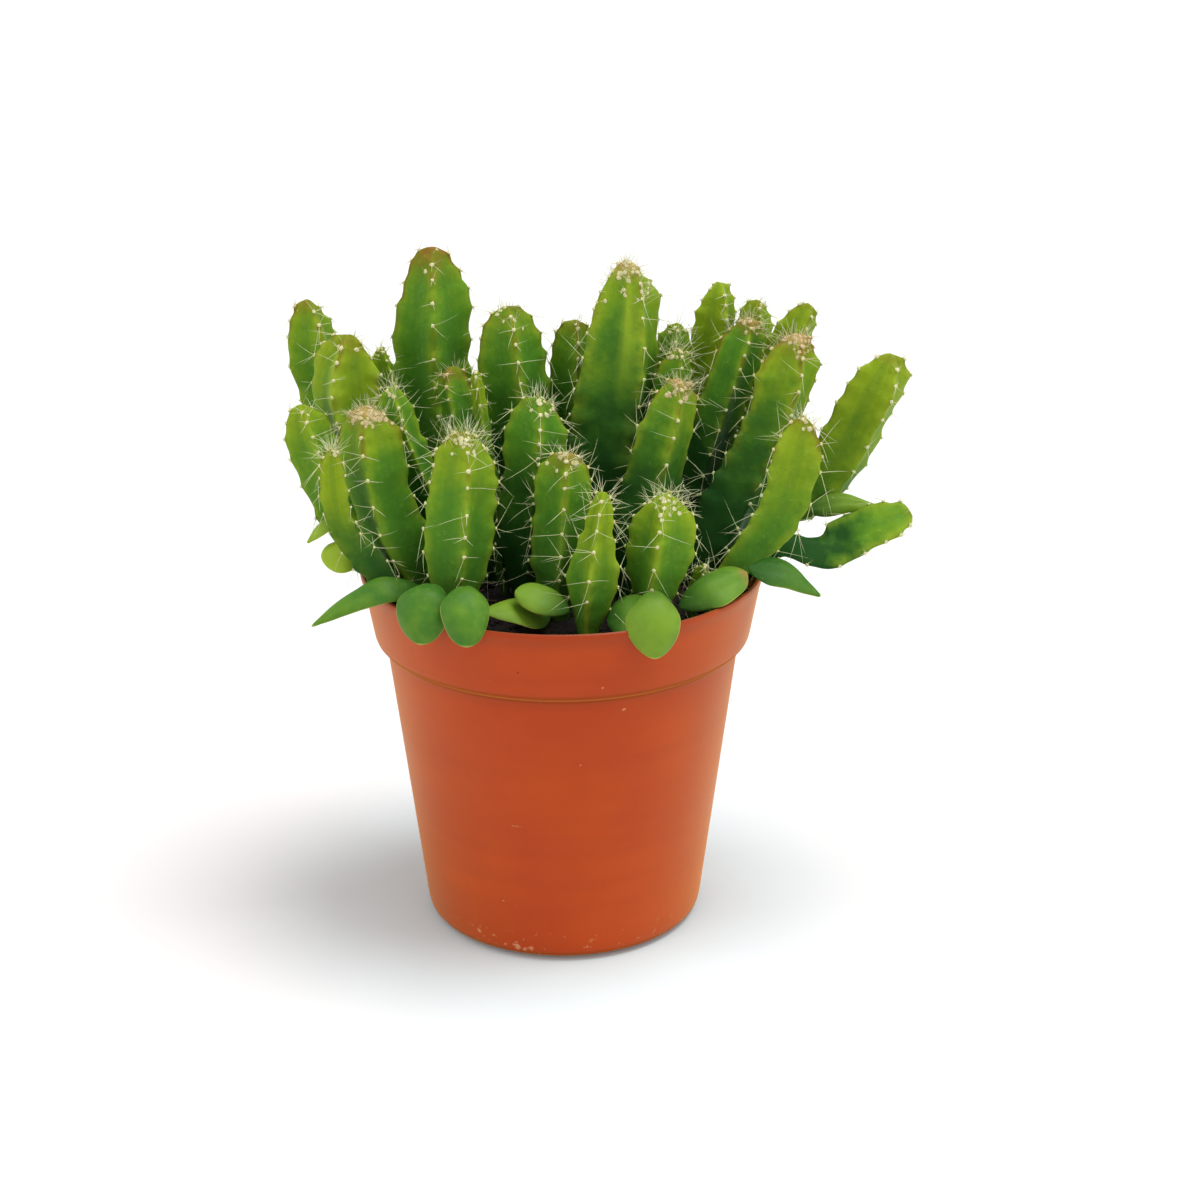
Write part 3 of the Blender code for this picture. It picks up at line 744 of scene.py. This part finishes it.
        # The ribs end in separate lobes round a slightly sunken growing point.
        dome = self.dome_share(at)
        lobed = np.interp(dome, [0.0, 0.5, 0.9, 1.0], [0.0, 1.0, 1.0, 0.0])
        sunk = np.interp(dome, [0.9, 1.0], [0.0, 1.0])
        drop = (self.drops[ribs] * near).sum(0) + 0.065 * self.width * (1 - near[0] - near[1])
        shift = -lobed * drop - sunk * 0.06 * self.width
        outward = rib * np.cos(turns)[:, None] + side * np.sin(turns)[:, None]
        points = centre + outward * reach[:, None] + along * shift[:, None]
        fade = np.minimum(1, radius / (0.35 * self.width))
        lumps = np.array([self.lump(Vector(p)) for p in points])
        return points + outward * (lumps * fade)[:, None], near.max(0)

    def lump(self, place):
        """How far the skin stands out at a place by chance."""
        return 0.38 * noise.noise(place / 8.0 + self.seed) + 0.15 * noise.noise(place / 2.6 + self.seed)

    def stations(self):
        """Distances at which the fine mesh has its rings."""
        body = np.arange(SKIN_START, self.shoulder, STATION_STEP)
        turns = np.radians(np.linspace(0, 84, 22))
        dome = self.shoulder + (self.length - self.shoulder) * np.sin(turns) ** (2 / TIP_POWER)
        return np.concatenate([body, dome])

    def spots(self, at, turns):
        """Points on the skin, with the skin's normal, the way up the stem and the way round it at each."""
        at, turns = np.array(at), np.array(turns)
        here, _ = self.surface(at, turns)
        above = self.surface(np.minimum(at + 0.25, self.length - 0.05), turns)[0]
        up = above - self.surface(at - 0.25, turns)[0]
        spread = 0.5 / np.maximum(self.radius(at), 0.6)
        round_it = self.surface(at, turns + spread)[0] - self.surface(at, turns - spread)[0]
        up, round_it = unit(up), unit(round_it)
        return here, unit(np.cross(round_it, up)), up, round_it


def stem_skin(stem, material):
    """The ribbed body of a stem as one fine closed mesh."""
    at = stem.stations()
    steps = np.arange(SIDE_STEPS) / SIDE_STEPS
    # Crowd the points towards the ribs.
    steps = steps - 0.45 * np.sin(steps * math.tau) / math.tau
    turns = np.concatenate([(rib + steps) * math.tau / stem.ribs for rib in range(stem.ribs)])
    columns = len(turns)
    every_at, every_turn = np.repeat(at, columns), np.tile(turns, len(at))
    points, near = stem.surface(every_at, every_turn)
    tip = points[-columns:].mean(0) + stem.tip_way * 0.05
    from_tip = np.append(stem.length - every_at, 0.0)
    # Painted highlight beside one rib, for some stems.
    band = np.zeros(len(every_at))
    if stem.number in PAINTED_HIGHLIGHT_BANDS:
        side, before, width = PAINTED_HIGHLIGHT_BANDS[stem.number]
        turn = every_turn / math.tau * stem.ribs - (stem.rib_towards(side) - before)
        turn = (turn + stem.ribs / 2) % stem.ribs - stem.ribs / 2
        band = np.exp(-((turn / width) ** 2)) * np.interp(every_at / stem.length, *BAND_FADE)
    foot = [tuple(reversed(range(columns)))]
    batch = Batch(*SKIN_NUMBERS)
    batch.add(
        np.vstack([points, tip]),
        grid_faces(len(at), columns, last_pole=True) + foot,
        rib=np.append(near, 0.8),
        crown=np.exp(-from_tip / (0.16 * stem.width + 0.8)),
        rise=np.clip(1 - from_tip / stem.length, 0, 1),
        lime=stem.look.lime,
        blush=stem.look.blush,
        deep=stem.look.deep,
        stripe=stem.look.stripe,
        band=np.append(band, 0.0),
        felt=max(0.0, stem.look.wool - 0.5) * 2 * np.exp(-from_tip / (0.09 * stem.width + 0.5)),
    )
    piece = batch.build(stem.node + "_skin", [material])
    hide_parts(stem.node)


def add_pad(batch, centre, normal, radius, rng, warm, thickness=0.5):
    """A felted pad, flattened against the skin."""
    points, faces = PAD
    turn = np.array(Vector((0, 0, 1)).rotation_difference(Vector(normal)).to_matrix())
    jitter = np.array([rng.uniform(0.7, 1.25) for _ in points])[:, None]
    size = radius * np.array([rng.uniform(0.85, 1.1), rng.uniform(0.85, 1.1), thickness])
    batch.add(centre + (points * size * jitter) @ turn.T, faces, slot=0, along=0.0, warm=warm)


def add_spine(batch, root, direction, length, thickness, curl, warm):
    """A fine tapering spine with a slight curve."""
    sides, steps = 4, 3
    direction = unit(np.array(direction, float))
    across = unit(np.cross(direction, (0.13, 0.41, 0.9)))
    other = np.cross(direction, across)
    points = []
    for share in np.arange(steps) / steps:
        middle = root + direction * length * share + curl * length * share**2
        radius = thickness * (1 - share) ** 0.6
        for corner in range(sides):
            x, y = polar(1.0, math.tau * corner / sides)
            points.append(middle + (across * x + other * y) * radius)
    points.append(root + direction * length + curl * length)
    along = np.append(np.repeat(np.arange(steps) / steps, sides), 1.0)
    batch.add(points, grid_faces(steps, sides, last_pole=True), slot=1, along=along, warm=warm)


def stem_spines(stem, materials, rng):
    """Wool pads and spines of one stem."""
    look = stem.look
    batch = Batch(*SPINE_NUMBERS)
    turns = [math.tau * a.rib / stem.ribs for a in stem.areoles]
    spots = stem.spots([a.at for a in stem.areoles], turns)
    small = min(1.0, 0.6 + stem.width / 32)
    for areole, place, normal, up, cross in zip(stem.areoles, *spots):
        near_tip = math.exp(-areole.from_tip / (0.8 * look.spacing))
        warm = look.warm * min(1.0, 1.6 * near_tip)
        add_pad(batch, place + normal * 0.04, normal, (0.4 + 0.12 * near_tip) * small, rng, warm)
        count = rng.choice((1, 2, 2, 3, 3, 4)) + int(3.0 * near_tip)
        for heading in rng.sample(SPINE_HEADINGS[: 5 + count], count):
            angle = heading + rng.uniform(-0.35, 0.35)
            spread = cross * math.cos(angle) + up * math.sin(angle)
            direction = unit(spread + normal * rng.uniform(0.1, 0.9))
            length = look.spine * rng.uniform(0.4, 1.5) * (1 - 0.4 * near_tip)
            curl = cross * rng.uniform(-0.16, 0.16) + up * rng.uniform(-0.16, 0.14)
            thickness = rng.uniform(*SPINE_THICKNESS)
            add_spine(batch, place + normal * 0.05, direction, length, thickness, curl, warm)
    # A tuft round the growing point.
    depth = stem.length - stem.shoulder
    at = [stem.length - depth * rng.uniform(0.02, 0.45) ** 1.4 - 0.1 for _ in range(look.crown)]
    turns = [rng.uniform(0, math.tau) for _ in at]
    for number, (place, normal, _, cross) in enumerate(zip(*stem.spots(at, turns)), 1):
        direction = normal * rng.uniform(0.4, 1.2) + stem.tip_way * rng.uniform(0.0, 0.9)
        direction = unit(direction + cross * rng.uniform(-0.8, 0.8))
        length = look.crown_spine * rng.uniform(0.45, 1.15)
        curl = np.array([rng.uniform(-0.22, 0.22) for _ in range(3)])
        add_spine(batch, place, direction, length, rng.uniform(*SPINE_THICKNESS), curl, look.warm)
        if number * look.wool % 1.0 < look.wool:
            add_pad(batch, place, normal, rng.uniform(0.26, 0.6), rng, look.warm, 0.3)
    batch.build(stem.node + "_spines", materials)


# ---------------- seed leaves


class LeafLook(NamedTuple):
    """What sets one seed leaf's looks apart."""

    # Below 0, painted shade that darkens the leaf.
    lime: float = 0.15
    spot: float = 0.0  # dry brown spot near the tip
    droop: float = 0.06  # how far the edges hang below the middle, as a share of the half width
    taper: float = 1.0  # width at the root, as a share of the CAD leaf's
    broad: float = 1.0  # width, as a share of the CAD leaf's


# Looks by leaf number. The guessed leaves at the back have none of their own.
LEAF_LOOKS = {
    1: (0.0, 0.0, 0.12, 1.0),
    2: (0.0, 0.0, 0.36, 0.85, 1.15),
    3: (0.0, 0.0, 0.36, 0.85, 1.05),
    4: (0.3, 0.0, 0.36, 0.72),
    5: (-0.5, 0.0, 0.1, 1.1),
    6: (0.35, 0.0, 0.1, 1.0, 1.1),
    7: (0.28, 0.0, 0.1, 1.0, 1.15),
    8: (-0.2, 0.0, 0.1, 1.0, 1.3),
    9: (0.05, 1.0, 0.1, 1.0, 1.1),
    10: (0.4, 0.0, 0.1, 1.0),
    11: (0.8, 0.0, 0.1, 1.0),
    12: (1.0, 0.0, 0.2, 1.0),
}
LEAF_ROWS, LEAF_SIDES = 34, 28


def seed_leaf(node, material, rng):
    """A seed leaf as a smooth lens-shaped body with a shallow groove along its upper face."""
    rings, centres, knots = cad_rings(node)
    look = LeafLook(*LEAF_LOOKS.get(int(node[-2:]), ()))
    length = knots[-1]
    widest = rings[2] - rings[2].mean(0)
    edge = int(np.argmax(np.linalg.norm(widest, axis=1)))
    rim = np.array([ring[edge] - ring.mean(0) for ring in rings])
    face = np.array([ring[(edge + 2) % len(ring)] - ring.mean(0) for ring in rings])
    # Both ends are rounded: the half widths are read against those of an oval of the same length.
    oval = np.sin(np.arccos(1 - 2 * np.clip(knots[:-1] / length, 0.12, 0.97)))
    turns = np.linspace(0.06, math.pi - 0.04, LEAF_ROWS)
    at = length * (1 - np.cos(turns)) / 2
    held = np.clip(at, 0, knots[-2])
    close = np.sin(turns)[:, None]
    centre = through(knots, centres, at)
    wide = through(knots[:-1], rim / oval[:, None], held) * close
    wide *= look.broad * np.interp(at / length, [0.0, 0.3, 0.55], [look.taper, look.taper, 1.0])[:, None]
    thick = through(knots[:-1], face / oval[:, None] ** 0.5, held) * close**0.5
    around = np.arange(LEAF_SIDES) / LEAF_SIDES * math.tau
    upper = 1.0 if face[2][2] > 0 else -1.0
    points, rims = [], []
    for row, share in enumerate(at / length):
        for angle in around:
            across = math.cos(angle)
            lift = math.sin(angle) * (1 - 0.35 * abs(across) ** 3)
            if lift * upper > 0:
                lift *= 1 - 0.38 * math.exp(-((across / 0.16) ** 2))
            hang = unit(thick[row]) * upper * np.linalg.norm(wide[row]) * look.droop * (0.3 - across**2)
            points.append(centre[row] + wide[row] * across + thick[row] * lift + hang)
            rims.append(max(abs(across) ** 1.5, 2 * share - 1))
    seed = Vector([rng.uniform(0, 90) for _ in range(3)])
    points = [p + np.array(noise.noise_vector(Vector(p) / 5.0 + seed)) * 0.3 for p in points]
    root = centre[0] * 1.3 - centre[1] * 0.3
    end = np.array(points[-LEAF_SIDES:]).mean(0) + (centre[-1] - centre[-2]) * 0.25
    along = np.append(np.repeat(at / length, LEAF_SIDES), [0.0, 1.0])
    batch = Batch(*LEAF_NUMBERS)
    batch.add(
        np.vstack([points, root, end]),
        grid_faces(LEAF_ROWS, LEAF_SIDES, True, True),
        rim=rims + [0.2, 1.0],
        along=along,
        lime=look.lime,
        spot=look.spot * np.exp(-(((along - 0.95) / 0.06) ** 2)),
    )
    piece = batch.build(node + "_skin", [material])
    bm = bmesh.new()
    bm.from_mesh(piece.data)
    bmesh.ops.recalc_face_normals(bm, faces=bm.faces)
    bm.to_mesh(piece.data)
    bm.free()
    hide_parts(node)


# ---------------- pot and soil

POT_SIDES = 180
POT_HEIGHT = 79.0
FOOT_ROUNDING = 1.8  # height up to which the outer edge of the foot is rounded over
SOIL_ROWS, SOIL_SIDES = 90, 220
CRUMBS, FIBRES = 1500, 70


def turned_profile(node):
    """The profile of a turned CAD node as (radius, height), walked along its section at bearing 0."""
    points, near = welded(node)
    on_line = [i for i, p in enumerate(points) if abs(p[1]) < 1e-3 and p[0] > 0.05]
    start = min(on_line, key=lambda i: (round(points[i][2], 3), points[i][0]))
    walk, seen = [start], {start}
    while True:
        options = [i for i in on_line if i not in seen and i in near[walk[-1]]]
        if not options:
            break
        walk.append(min(options, key=lambda i: np.linalg.norm(points[i] - points[walk[-1]])))
        seen.add(walk[-1])
    return [(points[i][0], points[i][2]) for i in walk]


def subdivided(profile, longest):
    """The profile with no step longer than given."""
    fine = [profile[0]]
    for (r1, z1), (r2, z2) in zip(profile, profile[1:]):
        steps = max(1, math.ceil(math.hypot(r2 - r1, z2 - z1) / longest))
        for s in range(1, steps + 1):
            fine.append((r1 + (r2 - r1) * s / steps, z1 + (z2 - z1) * s / steps))
    return fine


def softened(profile, rounds):
    """The profile with its corners eased."""
    points = np.array(profile)
    for _ in range(rounds):
        points[1:-1] = 0.25 * points[:-2] + 0.5 * points[1:-1] + 0.25 * points[2:]
    return [tuple(p) for p in points]


def turned(rows, sides, point):
    """Points and faces of a turned shape: point() gives the place for a radius, an angle and a height."""
    turns = [math.tau * side / sides for side in range(sides)]
    points = [point(radius, turn, height) for radius, height in rows for turn in turns]
    points.extend(point(0.0, 0.0, rows[end][1]) for end in (0, -1))
    return points, grid_faces(len(rows), sides, True, True)


def pot_point(radius, angle, height):
    """Point of the pot, which is slightly out of round."""
    wobble = 0.0016 * math.sin(2 * angle + 0.7) * height / POT_HEIGHT
    wobble += 0.0007 * math.sin(5 * angle + height / 19)
    return (*polar(radius * (1 + wobble), angle), height)


def slot_outlines(node):
    """Outlines of the slots through the base of the CAD pot, as points around each."""
    points, _ = welded(node)
    low = points[points[:, 2] < 1e-3][:, :2]
    reach = np.hypot(*low.T)
    groups = []
    for point in low[(reach < 0.96 * reach.max()) & (reach > 5.0)]:
        for group in groups:
            if min(np.linalg.norm(point - other) for other in group) < 4.2:
                group.append(point)
                break
        else:
            groups.append([point])
    outlines = []
    for group in map(np.array, groups):
        away = group - group.mean(0)
        outlines.append(group[np.argsort(np.arctan2(away[:, 1], away[:, 0]))])
    return outlines


def slot_cutter():
    """The drain slots as one mesh of upright blocks that reach from below the base to above it."""
    cutter = bmesh.new()
    for outline in slot_outlines("pot"):
        face = cutter.faces.new([cutter.verts.new((x * MM, y * MM, -2 * MM)) for x, y in outline])
        lift = bmesh.ops.extrude_face_region(cutter, geom=[face])["geom"]
        top = [item for item in lift if isinstance(item, bmesh.types.BMVert)]
        bmesh.ops.translate(cutter, verts=top, vec=(0, 0, 6 * MM))
    bmesh.ops.recalc_face_normals(cutter, faces=cutter.faces)
    mesh = bpy.data.meshes.new("slots")
    cutter.to_mesh(mesh)
    cutter.free()
    return placed("slots", mesh)


def add_pot(profile, material):
    """The pot, turned finely from the CAD profile, with its drain slots cut through."""
    profile = [(0.0, profile[0][1])] + profile + [(0.0, profile[-1][1])]
    profile = softened(subdivided(profile, 0.8), 2)
    foot = max(r for r, z in profile if z < 0.1)
    # The foot meets the floor in a dark line.
    cut = [0.45 * max(0.0, FOOT_ROUNDING - z) ** 2 if r > foot - 0.2 else 0.0 for r, z in profile]
    profile = [(max(r - less, 0.02), z) for (r, z), less in zip(profile, cut)]
    batch = Batch()
    batch.add(*turned(profile, POT_SIDES, pot_point))
    piece = batch.build("pot_shell", [material])
    cutter = slot_cutter()
    boolean = piece.modifiers.new("slots", "BOOLEAN")
    boolean.operation = "DIFFERENCE"
    boolean.solver = "EXACT"
    boolean.object = cutter
    graph = bpy.context.evaluated_depsgraph_get()
    mesh = bpy.data.meshes.new_from_object(piece.evaluated_get(graph))
    piece.modifiers.clear()
    piece.data = mesh
    bpy.data.objects.remove(cutter)
    mesh.shade_smooth()
    mesh.set_sharp_from_angle(angle=math.radians(38))
    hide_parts("pot")


class Ground:
    """The uneven surface of the soil, from the profile of the CAD plug."""

    def __init__(self, profile):
        self.radius, self.edge = max(profile, key=lambda rz: rz[0] + 0.01 * rz[1])
        self.crown = max(z for _, z in profile) + 0.2

    def height(self, x, y):
        """Height of the surface."""
        share = math.hypot(x, y) / self.radius
        base = self.crown + (self.edge - self.crown) * share**4
        place = Vector((x, y, 0.0))
        sizes = ((0.75, 7.0), (0.5, 2.6), (0.28, 1.0))
        rough = sum(depth * noise.noise(place / size) for depth, size in sizes)
        return base - 0.3 + rough * (1 - 0.5 * share**8)

    def point(self, radius, angle, height=None):
        """Point of the plug, on its surface if no height is given."""
        x, y = polar(radius, angle)
        return x, y, self.height(x, y) if height is None else height

    def anywhere(self, margin, rng):
        """A point drawn evenly from the surface, away from its edge."""
        radius = (self.radius - margin) * math.sqrt(rng.uniform(0, 1))
        return np.array(self.point(radius, rng.uniform(0, math.tau)))


def add_soil(profile, ground, material):
    """The soil plug with an uneven top."""
    rows = [(ground.radius * (row + 0.5) / (SOIL_ROWS - 0.5), None) for row in range(SOIL_ROWS)]
    rows += [(radius, height) for radius, height in profile if height < ground.edge - 0.01][::-1]
    points, faces = turned(rows, SOIL_SIDES, ground.point)
    batch = Batch()
    batch.add(points, [tuple(reversed(face)) for face in faces])
    piece = batch.build("soil_plug", [material])
    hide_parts("soil")


def add_crumbs(ground, material, rng):
    """Crumbs of peat that lie on the soil."""
    crumbs = Batch()
    points, faces = ball(1)
    for _ in range(CRUMBS):
        place = ground.anywhere(0.8, rng)
        size = 0.28 + 1.0 * rng.uniform(0, 1) ** 4
        squash = np.array([rng.uniform(0.7, 1.4), rng.uniform(0.7, 1.2), rng.uniform(0.5, 0.9)]) * size
        turn = np.array(Matrix.Rotation(rng.uniform(0, math.tau), 3, "Z"))
        jitter = np.array([rng.uniform(0.65, 1.25) for _ in points])[:, None]
        shape = (points * jitter * squash) @ turn.T
        crumbs.add(shape + (place + (0.0, 0.0, 0.1 * size)), faces)
    crumbs.build("soil_crumbs", [material])


def add_fibres(ground, material, rng):
    """Short pale root fibres and bits of bark on the soil."""
    batch = Batch(*SPINE_NUMBERS)
    for _ in range(FIBRES):
        root = ground.anywhere(2.5, rng) + (0.0, 0.0, 0.25)
        direction = (*polar(1.0, rng.uniform(0, math.tau)), rng.uniform(-0.02, 0.22))
        curl = np.array([rng.uniform(-0.35, 0.35), rng.uniform(-0.35, 0.35), -0.1])
        add_spine(batch, root, direction, rng.uniform(2.0, 6.0), rng.uniform(0.08, 0.2), curl, 0.0)
    batch.build("soil_fibres", [material, material])


# ---------------- stage

WHITE = (1.0, 1.0, 1.0, 1.0)
FLOOR_RADIUS, FLOOR_SIDES = 4.0, 96  # in metres
# Bearing and height of each lamp in degrees, its strength, and its width in degrees.
LAMPS = {
    "key": (-4.0, 75.0, 1.85, 34.0),
    "left": (205.0, 30.0, 0.76, 85.0),
    "right": (335.0, 28.0, 0.75, 85.0),
}
CAMERA_PLACE = (0.0, -0.44473, 0.23859)
CAMERA_TURN = (69.25, 0.0, -1.0212)  # in degrees
CAMERA_LENS, SENSOR_WIDTH, NEAREST_SEEN = 67.32, 36.0, 0.01


def seen_directly(g):
    """1 for rays that show the stage, straight or by gloss or glass, and 0 for those that light things."""
    rays = g.node("LightPath", {})
    seen = g.maths("MAXIMUM", rays["Is Camera Ray"], rays["Is Glossy Ray"])
    return g.maths("MAXIMUM", seen, rays["Is Transmission Ray"])


def add_floor():
    """A white floor that keeps the plant's shadow."""
    mesh = bpy.data.meshes.new("floor")
    corners = [(*polar(FLOOR_RADIUS, math.tau * i / FLOOR_SIDES), 0.0) for i in range(FLOOR_SIDES)]
    mesh.from_pydata(corners, [], [tuple(range(FLOOR_SIDES))])
    floor = placed("floor", mesh)
    g = Graph("floor_white", (0.8, 0.8, 0.8, 1.0))
    # Next to the pot the floor is a little less red, as if the orange light off the pot were missing.
    by_pot = g.span(g.distance(), 0.03, 0.088, 1.0, 0.0)
    by_pot = g.times(by_pot, g.node("LightPath", {})["Is Camera Ray"])
    seen = seen_directly(g)
    g.paint(seen, g.mix(by_pot, (0.93, 0.93, 0.93, 1.0), (0.80, 0.95, 0.975, 1.0)))
    glow = g.times(seen, 0.05)
    mesh.materials.append(g.surface(1.0, 0.0, Emission_Color=WHITE, Emission_Strength=glow))


def add_surround():
    """A world that looks white and lights softly."""
    g = Graph("surround")
    g.shade(Color=WHITE, Strength=g.span(seen_directly(g), 0.0, 1.0, 0.38, 1.0))
    bpy.context.scene.world = g.owner


def add_lamps():
    """Soft light from above and from both sides of the camera."""
    for name, (bearing, height, strength, width) in LAMPS.items():
        lamp = bpy.data.lights.new(name, "SUN")
        lamp.energy = strength
        lamp.angle = math.radians(width)
        level, rise = polar(1.0, math.radians(height))
        towards = Vector((*polar(level, math.radians(bearing)), rise))
        placed(name, lamp).rotation_euler = towards.to_track_quat("Z", "Y").to_euler()


def add_camera():
    """The camera that took the photo."""
    lens = bpy.data.cameras.new("camera")
    lens.lens = CAMERA_LENS
    lens.sensor_width = SENSOR_WIDTH
    lens.clip_start = NEAREST_SEEN
    camera = placed("camera", lens)
    camera.location = CAMERA_PLACE
    camera.rotation_euler = [math.radians(angle) for angle in CAMERA_TURN]
    bpy.context.scene.camera = camera


# ---------------- everything

PAD = ball(2)
skin, leaf = skin_material(), leaf_material()
wool, spine_white = wool_material(), spine_material()
for node_name in sorted(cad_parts):
    dice = random.Random(node_name)
    if node_name.startswith("stem_"):
        stem = Stem(node_name, dice)
        stem_skin(stem, skin)
        stem_spines(stem, [wool, spine_white], dice)
    elif node_name.startswith("seed_leaf_"):
        seed_leaf(node_name, leaf, dice)
pot_profile, soil_profile = turned_profile("pot"), turned_profile("soil")
add_pot(pot_profile, pot_material(pot_profile))
soil_top, peat = Ground(soil_profile), soil_material()
dice = random.Random("soil")
add_soil(soil_profile, soil_top, peat)
add_crumbs(soil_top, peat, dice)
add_fibres(soil_top, fibre_material(), dice)
add_floor()
add_surround()
add_lamps()
add_camera()
bpy.context.scene.view_settings.view_transform = "Standard"
